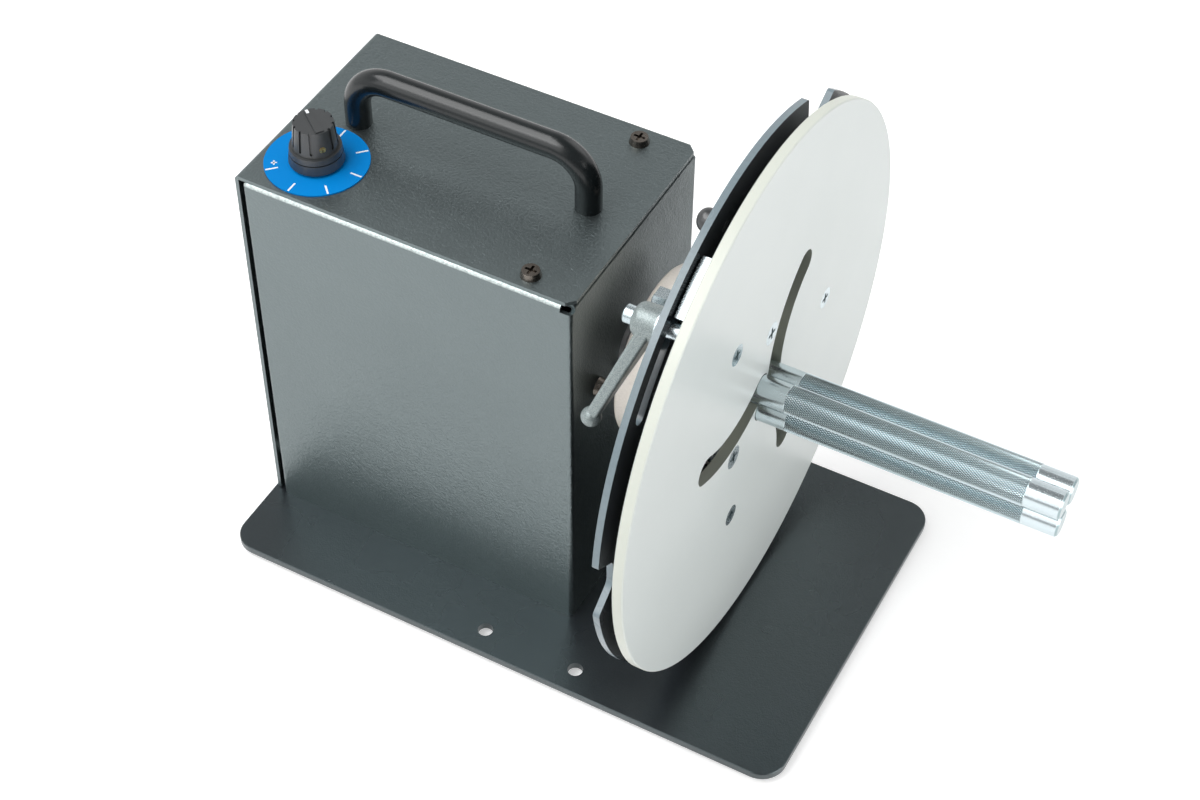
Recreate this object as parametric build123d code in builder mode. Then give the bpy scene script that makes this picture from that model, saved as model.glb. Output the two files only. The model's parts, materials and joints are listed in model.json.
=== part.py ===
from build123d import *
from math import atan2, cos, degrees, hypot, radians, sin, tan
import os

os.makedirs("parts", exist_ok=True)

# Tabletop label rewinder with an adjustable three-rod core holder.
# Frame: +X along the spindle from the housing towards the rods, +Y towards the
# back of the machine, +Z up. Origin under the middle of the whole machine, on
# the surface that it stands on. Millimetres.

# ---------------------------------------------------------------- driving sizes
# clearances
RUNNING_FIT = 0.05        # radial play of a part that turns on another
SEAT_FIT = 0.02           # radial play of a part that is pressed or glued in
SCREW_PLAY = 0.2          # radial play of a screw in a plain hole
SLIDE_PLAY = 0.3          # play beside a part that slides or swings
AIR = 0.25                # least gap between faces that pass each other
THRUST_GAP = 0.1          # gap between flat faces that turn on each other
SCREW_END_ROOM = 1.0      # tapped depth beyond the end of a screw

# base plate
PLATE_L = 243.0
PLATE_W = 151.0
PLATE_T = 3.0
PLATE_CORNER_R = 10.0
PLATE_BEHIND = 1.5        # plate beyond the closed end of the housing
PLATE_FRONT = 79.3        # plate edge in front of the spindle
HOLE_R = 3.0              # bench holes at the front edge
HOLE_PITCH = 40.0
HOLE_EDGE = 10.0
HOLE_FROM_END = 112.0     # first bench hole from the closed end of the housing
FOOT_R = 6.0
FOOT_T = 3.0
FOOT_INSET = 14.0

# housing: bent chassis and L-shaped cover
HOUSING_L = 138.5
HOUSING_W = 95.0
HOUSING_H = 170.0
SHEET_T = 1.5
BEND_R = 1.8
FLANGE_W = 12.0
COVER_T = 1.5
COVER_SETBACK = 1.0       # front edge of the cover behind the face of the wall
COVER_GAP = 2.0           # dark joint between cover end and chassis walls
COVER_CORNER_CUT = 3.0
COVER_FOOT_GAP = 0.8
CORNER_RELIEF = 4.5       # square relief where three bends meet
RELIEF_DEPTH = 2.8

# cross recess of a screw, as shares of its head's radius
CROSS_SPAN = 1.15
CROSS_WIDTH = 0.26
CROSS_DEPTH = 0.35

# M4 pan head screws of cover, chassis and gearbox
M4_R = 2.0
M4_HEAD_R = 3.9
M4_HEAD_H = 2.4
PAN_TAPER = 15.0          # degrees, side of a pan head
M4_LENGTH = 8.0
SCREW_INSET = 7.5         # screw axis inside the outer face of a wall
COVER_SCREW_FROM_END = 20.0
SIDE_SCREW_RISE = 20.0
BASE_SCREW_INSET = 26.0

# carrying handle
HANDLE_ROD_R = 5.0
HANDLE_FROM_END = 23.3    # foot of the handle from the closed end
HANDLE_FROM_WALL = 19.2   # other foot from the end wall
HANDLE_RISE = 23.0        # centre line above the cover
HANDLE_BEND_R = 14.0
HANDLE_SCREW_DEPTH = 9.0

# speed control
POT_FROM_END = 21.8
POT_OFFSET = 25.8         # in front of the spindle
POT_R = 8.5
POT_H = 9.0
POT_BUSH_R = 3.5
POT_SHAFT_R = 3.0
POT_NUT_T = 2.0
POT_NUT_FLATS = 10.0
DIAL_R = 19.3
DIAL_T = 0.5
KNOB_SKIRT_R = 10.3
KNOB_SKIRT_H = 6.3
KNOB_SKIRT_TAPER = 7.0    # degrees
KNOB_RING_RISE = 3.6      # groove round the skirt, from its foot
KNOB_RING_W = 0.5
KNOB_BODY_R = 8.5
KNOB_TAPER = 6.0          # degrees
KNOB_H = 18.5
KNOB_LIFT = 1.2           # gap between skirt and dial
KNOB_CAP_T = 4.0
FLUTE_STEPS = 12          # evenly spaced, one left out for the set screw
FLUTE_W = 1.0
FLUTE_DEPTH = 0.7
FLUTE_RISE = 1.9          # foot of the flutes above the skirt
POINTER_TURN = 145.0      # degrees from +X, as the photograph has it
POINTER_TIP_W = 1.8
POINTER_TAIL_W = 3.2
POINTER_H = 0.5
SET_SCREW_TURN = 324.0
SET_SCREW_RISE = 3.5      # above the skirt
SET_SCREW_R = 1.2

# gear motor and control board
GEARBOX_R = 38.0
SHAFT_OFFSET = 20.0       # shaft above the middle of the gearbox
GEARBOX_L = 38.0
GEARBOX_EDGE = 1.5
PILOT_R = 12.0
PILOT_H = 3.0
MOTOR_R = 27.0
MOTOR_L = 54.0
GEARBOX_SCREWS = 3
GEARBOX_SCREW_R = 34.0    # their circle round the middle of the gearbox
GEARBOX_SCREW_ANGLE = 144.0
SHAFT_R = 5.0
SHAFT_IN_GEARBOX = 20.0
SHAFT_IN_HUB = 22.0
BOARD_L = 80.0
BOARD_W = 50.0
BOARD_T = 1.6
BOARD_FROM_END = 29.0
BOARD_RISE = 6.0
STANDOFF_R = 3.0
STANDOFF_INSET = 4.0

# connector and direction switch in the back wall
JACK_FROM_END = 35.0
JACK_RISE = 30.0
JACK_R = 5.5
JACK_BORE_R = 3.2
JACK_L = 16.0
JACK_BORE_L = 9.6
JACK_PROUD = 3.0
JACK_NUT_FLATS = 14.0
JACK_NUT_T = 2.0
SWITCH_FROM_END = 67.0
SWITCH_L = 21.0
SWITCH_H = 15.0
SWITCH_BEZEL_T = 2.0
SWITCH_BODY_L = 19.0
SWITCH_BODY_H = 13.0
SWITCH_DEPTH = 14.0
ROCKER_WELL = 9.8         # room for the rocker inside the switch
ROCKER_L = 15.0
ROCKER_H = 9.0
ROCKER_PROUD = 2.4
ROCKER_PIN_R = 1.0
ROCKER_PIN_L = 1.2

# spindle and hub
DISC_LIFT = 3.0           # rim of the discs above the base plate
HUB_R = 33.0
HUB_GAP = 9.0             # hub in front of the end wall
HUB_EDGE = 0.8
HUB_SET_SCREW_R = 2.5
HUB_SET_SCREW_L = 8.0
REAR_DISC_STANDOFF = 42.0  # back of the rear disc from the end wall
RING_T = 1.2
RING_GROOVE = 1.0
RING_R = 36.0

# the two discs
DISC_R = 110.0
REAR_T = 2.5
FRONT_T = 4.2
DISC_GAP = 5.2
DISC_EDGE = 0.4
CENTRE_HOLE_R = 5.0
NOTCH_ANGLE = 61.8
NOTCH_MOUTH = 27.0
NOTCH_BOTTOM = 12.0
NOTCH_DEPTH = 11.0
NOTCH_BOTTOM_R = 4.0
NOTCH_LIP_R = 2.0

# swing arms: three rods on arms that turn about the pivot screws
ARMS = 3
PIVOT_CIRCLE_R = 51.3
PIVOT_ANGLE = 122.9
CLOSED_R = 6.8            # rod axis from the spindle, closed
CLOSED_LEAD = 8.0         # degrees that a closed rod leads its pivot
SWING = 59.0              # degrees that an arm turns
TAIL_R = 20.0             # drive pin from the pivot
ARM_T = 4.0
ARM_W = 11.0
PIVOT_BOSS_R = 8.0
BUSH_R = 4.5
BUSH_FLANGE_R = 6.5
BUSH_FLANGE_T = 0.6
PIN_R = 3.0
PIN_PROUD = 0.3
ROD_R = 5.4
KNURL_R = 5.5
ROD_TENON_R = 3.5
ROD_REACH = 115.6         # rod tip in front of the front disc
ROD_NECK_L = 11.5         # plain length at the disc
ROD_NOSE_L = 13.5         # plain length at the tip
ROD_CHAMFER = 0.8
PIVOT_HEAD_R = 4.2
PIVOT_SCREW_R = 2.0
PIVOT_SCREW_L = 8.0
POST_CIRCLE_R = 27.6
POST_ANGLE = 86.5
POST_R = 4.8
DISC_HEAD_R = 4.6
DISC_SCREW_R = 2.5
DISC_SCREW_L = 20.0
SCREW_EDGE = 0.3          # straight rim of a countersunk head
COUNTERSINK = 45.0        # degrees

# clamp that locks the rear disc to the front disc
CLAMP_INSET = 9.5         # stud axis inside the rim of the discs
CLAMP_ANGLE = 127.4
BLOCK_INSET = 5.0         # outer edge of the block inside the rim
BLOCK_W = 11.5
BLOCK_START = 113.0
BLOCK_END = 125.3
BLOCK_SCREW_R = 1.5
BLOCK_HEAD_R = 2.8
BLOCK_SCREW_L = 7.0
BLOCK_SCREW_SHARES = (0.25, 0.75)   # screw places along the block
STUD_R = 3.0
STUD_IN_DISC = 3.2
STUD_IN_LEVER = 7.5
STUD_SLOT_SPARE = 0.6     # degrees that the slot runs on at each end
WASHER_R = 7.0
WASHER_T = 1.2
LEVER_HUB_R = 6.5
LEVER_HUB_L = 9.5
LEVER_HUB_TAPER = 3.0     # degrees
LEVER_HUB_EDGE_R = 3.0
LEVER_EDGE_R = 1.2
LEVER_ARM_L = 42.0
LEVER_ANGLE = 251.7
LEVER_TIP_BACK = 8.8      # tip centre behind the back of the hub
LEVER_BALL_R = 3.6
LEVER_ROOT_INSET = 3.0    # middle of the arm behind the front of the hub
LEVER_ROOT_W = 12.4
LEVER_ROOT_T = 5.0
LEVER_TIP_W = 5.0
LEVER_TIP_T = 4.2
LEVER_SCREW_R = 3.3
LEVER_SCREW_H = 3.5
LEVER_SOCKET = 1.9        # depth of its hexagon socket

# hand knob and lever stop on the rear disc
GRIP_INSET = 12.0         # knob axis inside the rim of the disc
GRIP_ANGLE = 104.0
GRIP_R = 4.3
GRIP_H = 7.4
GRIP_DOME_R = 3.6
GRIP_STEM_R = 2.0
STOP_INSET = 24.0         # stop axis inside the rim of the disc
STOP_ANGLE = 121.5
STOP_STUD_R = 2.5
STOP_HEAD_R = 4.5
STOP_HEAD_H = 2.0
STOP_SLEEVE_R = 4.0
STOP_SLEEVE_L = 6.6
STOP_NUT_FLATS = 8.6
STOP_NUT_T = 4.5
STOP_TIP = 1.2

# ------------------------------------------------------------- places along X
tip_from_end = HOUSING_L + REAR_DISC_STANDOFF + REAR_T + DISC_GAP + FRONT_T + ROD_REACH
reach_behind = max(PLATE_BEHIND, M4_HEAD_H)     # plate or screw heads at the back
x_end = -(tip_from_end - reach_behind) / 2      # closed end of the housing
x_wall = x_end + HOUSING_L                      # outer face of the end wall
x_hub = x_wall + HUB_GAP
x_rear_back = x_wall + REAR_DISC_STANDOFF
x_rear_front = x_rear_back + REAR_T
x_front_back = x_rear_front + DISC_GAP
x_front = x_front_back + FRONT_T
x_tip = x_front + ROD_REACH
x_hub_front = x_rear_front + AIR
x_arm_front = x_front_back - SLIDE_PLAY
x_arm_back = x_arm_front - ARM_T
x_plate = x_end - PLATE_BEHIND + PLATE_L / 2
y_plate = PLATE_W / 2 - PLATE_FRONT

# --------------------------------------------------------- heights and widths
plate_top = FOOT_T + PLATE_T
spindle_z = plate_top + DISC_R + DISC_LIFT
housing_top = plate_top + HOUSING_H
chassis_top = housing_top - COVER_T
chassis_x0 = x_end + COVER_T + COVER_GAP
chassis_l = x_wall - chassis_x0
chassis_h = chassis_top - plate_top
half_w = HOUSING_W / 2
screw_y = half_w - SCREW_INSET


def axial(x):
    """Plane across the spindle at x: its axes are world Y and Z."""
    return Plane(origin=(x, 0, spindle_z), x_dir=(0, 1, 0), z_dir=(1, 0, 0))


def polar(radius, angle):
    """Point across the spindle, the angle counted from +Y towards +Z."""
    return (radius * cos(radians(angle)), radius * sin(radians(angle)))


def save(builder, name):
    """Label a finished piece and write its STEP file."""
    builder.part.label = name
    export_step(builder.part, f"parts/{name}.step")


def screws(name, planes, spots, head_r, head_h, shank_r, length, countersunk=False):
    """Cross-recessed screws: the planes lie on the seat, their normals leave it."""
    rim = SCREW_EDGE if countersunk else head_h
    with BuildPart() as group:
        for plane in planes:
            with BuildSketch(plane):
                with Locations(*spots):
                    Circle(head_r)
            if not countersunk:
                extrude(amount=rim, taper=PAN_TAPER)
            else:
                extrude(amount=-rim)
                with BuildSketch(plane.offset(-rim)):
                    with Locations(*spots):
                        Circle(head_r)
                extrude(amount=-head_h, taper=COUNTERSINK)
            with BuildSketch(plane):
                with Locations(*spots):
                    Circle(shank_r)
            extrude(amount=-length)
            with BuildSketch(plane if countersunk else plane.offset(rim)):
                with Locations(*spots):
                    Rectangle(head_r * CROSS_SPAN, head_r * CROSS_WIDTH)
                    Rectangle(head_r * CROSS_WIDTH, head_r * CROSS_SPAN)
            extrude(amount=-head_r * CROSS_DEPTH, mode=Mode.SUBTRACT)
    save(group, name)


# ------------------------------------------------------- swing arm mechanism
# The arm turns clockwise, seen from the rods, to carry its rod outwards.
pivot = polar(PIVOT_CIRCLE_R, PIVOT_ANGLE)
rod_closed = polar(CLOSED_R, PIVOT_ANGLE + CLOSED_LEAD)
ARM_R = hypot(rod_closed[0] - pivot[0], rod_closed[1] - pivot[1])
arm_angle = degrees(atan2(rod_closed[1] - pivot[1], rod_closed[0] - pivot[0]))
# The tail pin swings evenly about the line from the spindle through the pivot,
# so its radial slot in the rear disc turns at a steady ratio to the arm.
tail_angle = PIVOT_ANGLE + SWING / 2
tail_pin = (
    pivot[0] + TAIL_R * cos(radians(tail_angle)),
    pivot[1] + TAIL_R * sin(radians(tail_angle)),
)
pin_circle_near = hypot(*tail_pin)
pin_circle_far = PIVOT_CIRCLE_R + TAIL_R
disc_turn = 2 * (degrees(atan2(tail_pin[1], tail_pin[0])) - PIVOT_ANGLE)
rod_open = (
    pivot[0] + ARM_R * cos(radians(arm_angle - SWING)),
    pivot[1] + ARM_R * sin(radians(arm_angle - SWING)),
)
slot_w = 2 * (ROD_R + SLIDE_PLAY)
pin_slot_w = 2 * (PIN_R + AIR)
print("arm radius", round(ARM_R, 3), "open rod radius", round(hypot(*rod_open), 2))
print("rear disc turns", round(disc_turn, 4), "ratio", round(SWING / disc_turn, 5))
print("x of wall, rear, front, tip", x_wall, x_rear_back, x_front, x_tip)
print("spindle height", spindle_z)

# ------------------------------------------------------------------ base plate
bench_y = HOLE_EDGE - PLATE_FRONT
bench_x = x_end + HOLE_FROM_END + HOLE_PITCH / 2
base_screw_x = (x_end + BASE_SCREW_INSET, x_wall - BASE_SCREW_INSET)
gearbox_turns = [GEARBOX_SCREW_ANGLE + 360 * turn / GEARBOX_SCREWS for turn in range(GEARBOX_SCREWS)]
gearbox_circle = [polar(GEARBOX_SCREW_R, angle) for angle in gearbox_turns]
gearbox_spots = [(y, z - SHAFT_OFFSET) for y, z in gearbox_circle]
base_screw_spots = [(x, y) for x in base_screw_x for y in (-screw_y, screw_y)]
board_x = x_end + BOARD_FROM_END + BOARD_L / 2
standoff_grid = (BOARD_L - 2 * STANDOFF_INSET, BOARD_W - 2 * STANDOFF_INSET)
with BuildPart() as base_plate:
    with BuildSketch(Plane.XY.offset(FOOT_T)):
        with Locations((x_plate, y_plate)):
            RectangleRounded(PLATE_L, PLATE_W, PLATE_CORNER_R)
        with Locations((bench_x, bench_y)):
            with GridLocations(HOLE_PITCH, 0, 2, 1):
                Circle(HOLE_R, mode=Mode.SUBTRACT)
        with Locations(*base_screw_spots):
            Circle(M4_R + SCREW_PLAY, mode=Mode.SUBTRACT)
    extrude(amount=PLATE_T)
    chamfer(base_plate.faces().sort_by(Axis.Z)[-1].outer_wire().edges(), SCREW_EDGE)
save(base_plate, "base_plate")

foot_grid = (PLATE_L - 2 * FOOT_INSET, PLATE_W - 2 * FOOT_INSET)
with BuildPart() as rubber_feet:
    with BuildSketch():
        with Locations((x_plate, y_plate)):
            with GridLocations(*foot_grid, 2, 2):
                Circle(FOOT_R)
    extrude(amount=FOOT_T)
    chamfer(rubber_feet.faces().group_by(Axis.Z)[0].edges(), FOOT_T / 4)
save(rubber_feet, "rubber_feet")

# --------------------------------------------------------------------- chassis
side_screw_z = plate_top + SIDE_SCREW_RISE
jack_spot = (x_end + JACK_FROM_END, plate_top + JACK_RISE)
switch_spot = (x_end + SWITCH_FROM_END, plate_top + JACK_RISE)
cover_screw_x = x_wall - COVER_SCREW_FROM_END
left_plane = Plane(origin=(chassis_x0, 0, 0), x_dir=(0, -1, 0), z_dir=(-1, 0, 0))
chassis_mid_x = chassis_x0 + chassis_l / 2
window_l = chassis_l - FLANGE_W
window_w = HOUSING_W - 2 * FLANGE_W
with BuildPart() as chassis:
    with BuildSketch(Plane.XY.offset(plate_top)):
        with Locations((chassis_mid_x, 0)):
            Rectangle(chassis_l, HOUSING_W)
    extrude(amount=chassis_h)
    fillet(chassis.edges().filter_by(Axis.Z), BEND_R)
    fillet(chassis.faces().sort_by(Axis.Z)[-1].edges(), BEND_R)
    offset(amount=-SHEET_T, mode=Mode.SUBTRACT)
    # open top and bottom between the flanges, and the open end
    with BuildSketch(Plane.XY.offset(plate_top), Plane.XY.offset(chassis_top - SHEET_T)):
        with Locations((chassis_x0 + window_l / 2, 0)):
            Rectangle(window_l, window_w)
    extrude(amount=SHEET_T, mode=Mode.SUBTRACT)
    with BuildSketch(left_plane):
        with Locations((0, plate_top)):
            Rectangle(window_w, chassis_h, align=(Align.CENTER, Align.MIN))
    extrude(amount=-SHEET_T, mode=Mode.SUBTRACT)
    # square reliefs where the bends of top and end wall meet
    with BuildSketch(Plane.XY.offset(chassis_top)):
        with Locations((x_wall, -half_w), (x_wall, half_w)):
            Rectangle(2 * CORNER_RELIEF, 2 * RELIEF_DEPTH)
    extrude(amount=-RELIEF_DEPTH, mode=Mode.SUBTRACT)
    # clinch bosses that carry the cover end, and their screw holes
    with BuildSketch(left_plane):
        with Locations((-screw_y, side_screw_z), (screw_y, side_screw_z)):
            Circle(M4_HEAD_R)
    extrude(amount=COVER_GAP)
    with BuildSketch(left_plane.offset(COVER_GAP)):
        with Locations((-screw_y, side_screw_z), (screw_y, side_screw_z)):
            Circle(M4_R + SEAT_FIT)
    extrude(amount=-COVER_GAP - SHEET_T, mode=Mode.SUBTRACT)
    with BuildSketch(Plane.XY.offset(chassis_top)):
        with Locations((cover_screw_x, -screw_y), (cover_screw_x, screw_y)):
            Circle(M4_R + SEAT_FIT)
    extrude(amount=-SHEET_T, mode=Mode.SUBTRACT)
    with BuildSketch(Plane.XY.offset(plate_top)):
        with Locations(*base_screw_spots):
            Circle(M4_R + SEAT_FIT)
    extrude(amount=SHEET_T, mode=Mode.SUBTRACT)
    # end wall: gearbox pilot and its screws
    with BuildSketch(axial(x_wall)):
        Circle(PILOT_R + SCREW_PLAY)
        with Locations(*gearbox_spots):
            Circle(M4_R + SCREW_PLAY)
    extrude(amount=-SHEET_T, mode=Mode.SUBTRACT)
    # back wall: connector and switch
    with BuildSketch(Plane.XZ.offset(-half_w)):
        with Locations(jack_spot):
            Circle(JACK_R + SCREW_PLAY)
        with Locations(switch_spot):
            Rectangle(SWITCH_BODY_L + 2 * SCREW_PLAY, SWITCH_BODY_H + 2 * SCREW_PLAY)
    extrude(amount=SHEET_T, mode=Mode.SUBTRACT)
save(chassis, "chassis")

# ----------------------------------------------------------------------- cover
cover_w = HOUSING_W - COVER_SETBACK
cover_bottom = plate_top + COVER_FOOT_GAP
cover_h = housing_top - cover_bottom
pot_spot = (x_end + POT_FROM_END, -POT_OFFSET)
handle_x = (x_end + HANDLE_FROM_END, x_wall - HANDLE_FROM_WALL)
end_plane = Plane(origin=(x_end, 0, 0), x_dir=(0, -1, 0), z_dir=(-1, 0, 0))
with BuildPart() as cover:
    with BuildSketch(Plane.XZ.offset(-half_w)) as cover_section:
        with Locations((x_end, cover_bottom)):
            Rectangle(HOUSING_L, cover_h, align=(Align.MIN, Align.MIN))
        with Locations((x_end + COVER_T, cover_bottom)):
            Rectangle(
                HOUSING_L,
                cover_h - COVER_T,
                align=(Align.MIN, Align.MIN),
                mode=Mode.SUBTRACT,
            )
        fillet(cover_section.vertices().sort_by(lambda v: v.X - v.Y)[1], BEND_R - COVER_T)
        fillet(cover_section.vertices().sort_by(lambda v: v.X - v.Y)[0], BEND_R)
    extrude(amount=cover_w)
    open_corners = cover.edges().filter_by(Axis.Z).group_by(Axis.X)[-1]
    chamfer(open_corners, COVER_CORNER_CUT)
    with BuildSketch(Plane.XY.offset(housing_top)):
        with Locations((cover_screw_x, -screw_y), (cover_screw_x, screw_y)):
            Circle(M4_R + SCREW_PLAY)
        with Locations((handle_x[0], 0), (handle_x[1], 0)):
            Circle(M4_R + SCREW_PLAY)
        with Locations(pot_spot):
            Circle(POT_BUSH_R + SCREW_PLAY)
    extrude(amount=-COVER_T, mode=Mode.SUBTRACT)
    with BuildSketch(end_plane):
        with Locations((-screw_y, side_screw_z), (screw_y, side_screw_z)):
            Circle(M4_R + SCREW_PLAY)
    extrude(amount=-COVER_T, mode=Mode.SUBTRACT)
save(cover, "cover")

m4 = (M4_HEAD_R, M4_HEAD_H, M4_R, M4_LENGTH)
cover_top_plane = Plane.XY.offset(housing_top)
under_plate = Plane(origin=(0, 0, FOOT_T), x_dir=(1, 0, 0), z_dir=(0, 0, -1))
screws(
    "cover_screws",
    [cover_top_plane],
    [(cover_screw_x, -screw_y), (cover_screw_x, screw_y)],
    *m4,
)
screws(
    "side_screws",
    [end_plane],
    [(-screw_y, side_screw_z), (screw_y, side_screw_z)],
    *m4,
)
screws("base_screws", [under_plate], [(x, -y) for x, y in base_screw_spots], *m4)
screws(
    "gearbox_screws",
    [axial(x_wall)],
    gearbox_spots,
    *m4,
)

# ---------------------------------------------------------------------- handle
handle_z = housing_top + HANDLE_RISE
with BuildPart() as handle:
    with BuildLine(Plane.XZ) as handle_path:
        FilletPolyline(
            (handle_x[0], housing_top),
            (handle_x[0], handle_z),
            (handle_x[1], handle_z),
            (handle_x[1], housing_top),
            radius=HANDLE_BEND_R,
        )
    with BuildSketch(Plane.XY.offset(housing_top)):
        with Locations((handle_x[0], 0)):
            Circle(HANDLE_ROD_R)
    sweep()
    with BuildSketch(Plane.XY.offset(housing_top)):
        with Locations((handle_x[0], 0), (handle_x[1], 0)):
            Circle(M4_R + SEAT_FIT)
    extrude(amount=HANDLE_SCREW_DEPTH, mode=Mode.SUBTRACT)
save(handle, "handle")

under_cover = Plane(origin=(0, 0, chassis_top), x_dir=(1, 0, 0), z_dir=(0, 0, -1))
screws("handle_screws", [under_cover], [(handle_x[0], 0), (handle_x[1], 0)], *m4)

# --------------------------------------------------------------- speed control
dial_top = housing_top + DIAL_T
pot_nut_top = dial_top + POT_NUT_T
knob_bottom = dial_top + KNOB_LIFT
knob_top = dial_top + KNOB_H
shaft_top = knob_top - KNOB_CAP_T
with BuildPart() as dial_disc:
    with BuildSketch(Plane.XY.offset(housing_top)):
        with Locations(pot_spot):
            Circle(DIAL_R)
            Circle(POT_BUSH_R + SCREW_PLAY, mode=Mode.SUBTRACT)
    extrude(amount=DIAL_T)
save(dial_disc, "dial_disc")

with BuildPart() as potentiometer:
    with BuildSketch(Plane.XY.offset(chassis_top)):
        with Locations(pot_spot):
            Circle(POT_R)
    extrude(amount=-POT_H)
    with BuildSketch(Plane.XY.offset(chassis_top)):
        with Locations(pot_spot):
            Circle(POT_BUSH_R)
    extrude(amount=pot_nut_top - chassis_top)
    with BuildSketch(Plane.XY.offset(pot_nut_top)):
        with Locations(pot_spot):
            Circle(POT_SHAFT_R + RUNNING_FIT)
    extrude(amount=chassis_top - pot_nut_top - POT_H / 2, mode=Mode.SUBTRACT)
    with BuildSketch(Plane.XY.offset(chassis_top - POT_H)):
        with Locations((pot_spot[0], pot_spot[1] + POT_R)):
            Rectangle(2 * POT_SHAFT_R, POT_SHAFT_R)
    extrude(amount=DIAL_T)
save(potentiometer, "potentiometer")

with BuildPart() as pot_nut:
    with BuildSketch(Plane.XY.offset(dial_top)):
        with Locations(pot_spot):
            RegularPolygon(POT_NUT_FLATS / 2, 6, major_radius=False)
            Circle(POT_BUSH_R + SEAT_FIT, mode=Mode.SUBTRACT)
    extrude(amount=POT_NUT_T)
save(pot_nut, "pot_nut")

with BuildPart() as pot_shaft:
    with BuildSketch(Plane.XY.offset(chassis_top - POT_H / 2 + AIR)):
        with Locations(pot_spot):
            Circle(POT_SHAFT_R)
    extrude(amount=shaft_top - chassis_top + POT_H / 2 - AIR)
save(pot_shaft, "pot_shaft")

skirt_top = knob_bottom + KNOB_SKIRT_H
cap_z = knob_top - POINTER_H
flute_z = skirt_top + FLUTE_RISE
flute_l = knob_top - flute_z
flute_foot_r = KNOB_BODY_R - FLUTE_RISE * tan(radians(KNOB_TAPER))
cap_r = KNOB_BODY_R - (cap_z - skirt_top) * tan(radians(KNOB_TAPER))
flute_planes = [
    Plane(
        origin=(
            pot_spot[0] + flute_foot_r * cos(radians(turn)),
            pot_spot[1] + flute_foot_r * sin(radians(turn)),
            flute_z,
        ),
        x_dir=(-sin(radians(turn)), cos(radians(turn)), 0),
        z_dir=(
            cos(radians(turn)) * cos(radians(KNOB_TAPER)),
            sin(radians(turn)) * cos(radians(KNOB_TAPER)),
            sin(radians(KNOB_TAPER)),
        ),
    )
    for turn in [SET_SCREW_TURN + step * 360 / FLUTE_STEPS for step in range(1, FLUTE_STEPS)]
]
set_plane = Plane(
    origin=(pot_spot[0], pot_spot[1], skirt_top + SET_SCREW_RISE),
    x_dir=(0, 0, 1),
    z_dir=(cos(radians(SET_SCREW_TURN)), sin(radians(SET_SCREW_TURN)), 0),
)
with BuildPart() as control_knob:
    with BuildSketch(Plane.XY.offset(knob_bottom)):
        with Locations(pot_spot):
            Circle(KNOB_SKIRT_R)
    extrude(amount=KNOB_SKIRT_H, taper=KNOB_SKIRT_TAPER)
    with BuildSketch(Plane.XY.offset(knob_bottom + KNOB_RING_RISE)):
        with Locations(pot_spot):
            Circle(KNOB_SKIRT_R)
            Circle(KNOB_SKIRT_R - 2 * KNOB_RING_W, mode=Mode.SUBTRACT)
    extrude(amount=KNOB_RING_W, mode=Mode.SUBTRACT)
    with BuildSketch(Plane.XY.offset(skirt_top)):
        with Locations(pot_spot):
            Circle(KNOB_BODY_R)
    extrude(amount=cap_z - skirt_top, taper=KNOB_TAPER)
    with BuildSketch(*flute_planes):
        with Locations((0, flute_l / 2)):
            SlotOverall(flute_l + FLUTE_W, FLUTE_W, rotation=90)
    extrude(amount=-FLUTE_DEPTH, mode=Mode.SUBTRACT)
    # raised pointer across the cap
    with BuildSketch(Plane.XY.offset(cap_z)):
        with Locations(Location((pot_spot[0], pot_spot[1], 0), (0, 0, POINTER_TURN))):
            Polygon(
                (cap_r - FLUTE_DEPTH, POINTER_TIP_W / 2),
                (FLUTE_DEPTH - cap_r, POINTER_TAIL_W / 2),
                (FLUTE_DEPTH - cap_r, -POINTER_TAIL_W / 2),
                (cap_r - FLUTE_DEPTH, -POINTER_TIP_W / 2),
                align=None,
            )
    extrude(amount=POINTER_H)
    # bore for the shaft and room for the nut under the skirt
    with BuildSketch(Plane.XY.offset(knob_bottom)):
        with Locations(pot_spot):
            Circle(POT_SHAFT_R + SEAT_FIT)
    extrude(amount=shaft_top - knob_bottom, mode=Mode.SUBTRACT)
    with BuildSketch(Plane.XY.offset(knob_bottom)):
        with Locations(pot_spot):
            Circle(POT_NUT_FLATS / 2 + 2 * KNOB_LIFT)
    extrude(amount=pot_nut_top - knob_bottom + AIR, mode=Mode.SUBTRACT)
    # threaded hole of the set screw
    with BuildSketch(set_plane):
        Circle(SET_SCREW_R + SEAT_FIT)
    extrude(amount=KNOB_SKIRT_R, mode=Mode.SUBTRACT)
save(control_knob, "control_knob")

with BuildPart() as knob_set_screw:
    with BuildSketch(set_plane.offset(POT_SHAFT_R + SEAT_FIT)):
        Circle(SET_SCREW_R)
    extrude(amount=flute_foot_r - POT_SHAFT_R - SEAT_FIT)
    with BuildSketch(set_plane.offset(flute_foot_r)):
        Rectangle(2 * SET_SCREW_R, SET_SCREW_R / 3)
    extrude(amount=-FLUTE_DEPTH, mode=Mode.SUBTRACT)
save(knob_set_screw, "knob_set_screw")

# ------------------------------------------------------------------ gear motor
x_gearbox = x_wall - SHEET_T
with BuildPart() as gearbox:
    with BuildSketch(axial(x_gearbox)):
        with Locations((0, -SHAFT_OFFSET)):
            Circle(GEARBOX_R)
    extrude(amount=-GEARBOX_L)
    chamfer(gearbox.faces().sort_by(Axis.X)[0].edges(), GEARBOX_EDGE)
    with BuildSketch(axial(x_gearbox)):
        Circle(PILOT_R)
    extrude(amount=PILOT_H)
    with BuildSketch(axial(x_gearbox)):
        with Locations(*gearbox_spots):
            Circle(M4_R + SEAT_FIT)
    extrude(amount=-M4_LENGTH, mode=Mode.SUBTRACT)
    with BuildSketch(axial(x_gearbox + PILOT_H)):
        Circle(SHAFT_R + RUNNING_FIT)
    extrude(amount=-SHAFT_IN_GEARBOX, mode=Mode.SUBTRACT)
save(gearbox, "gearbox")

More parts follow.
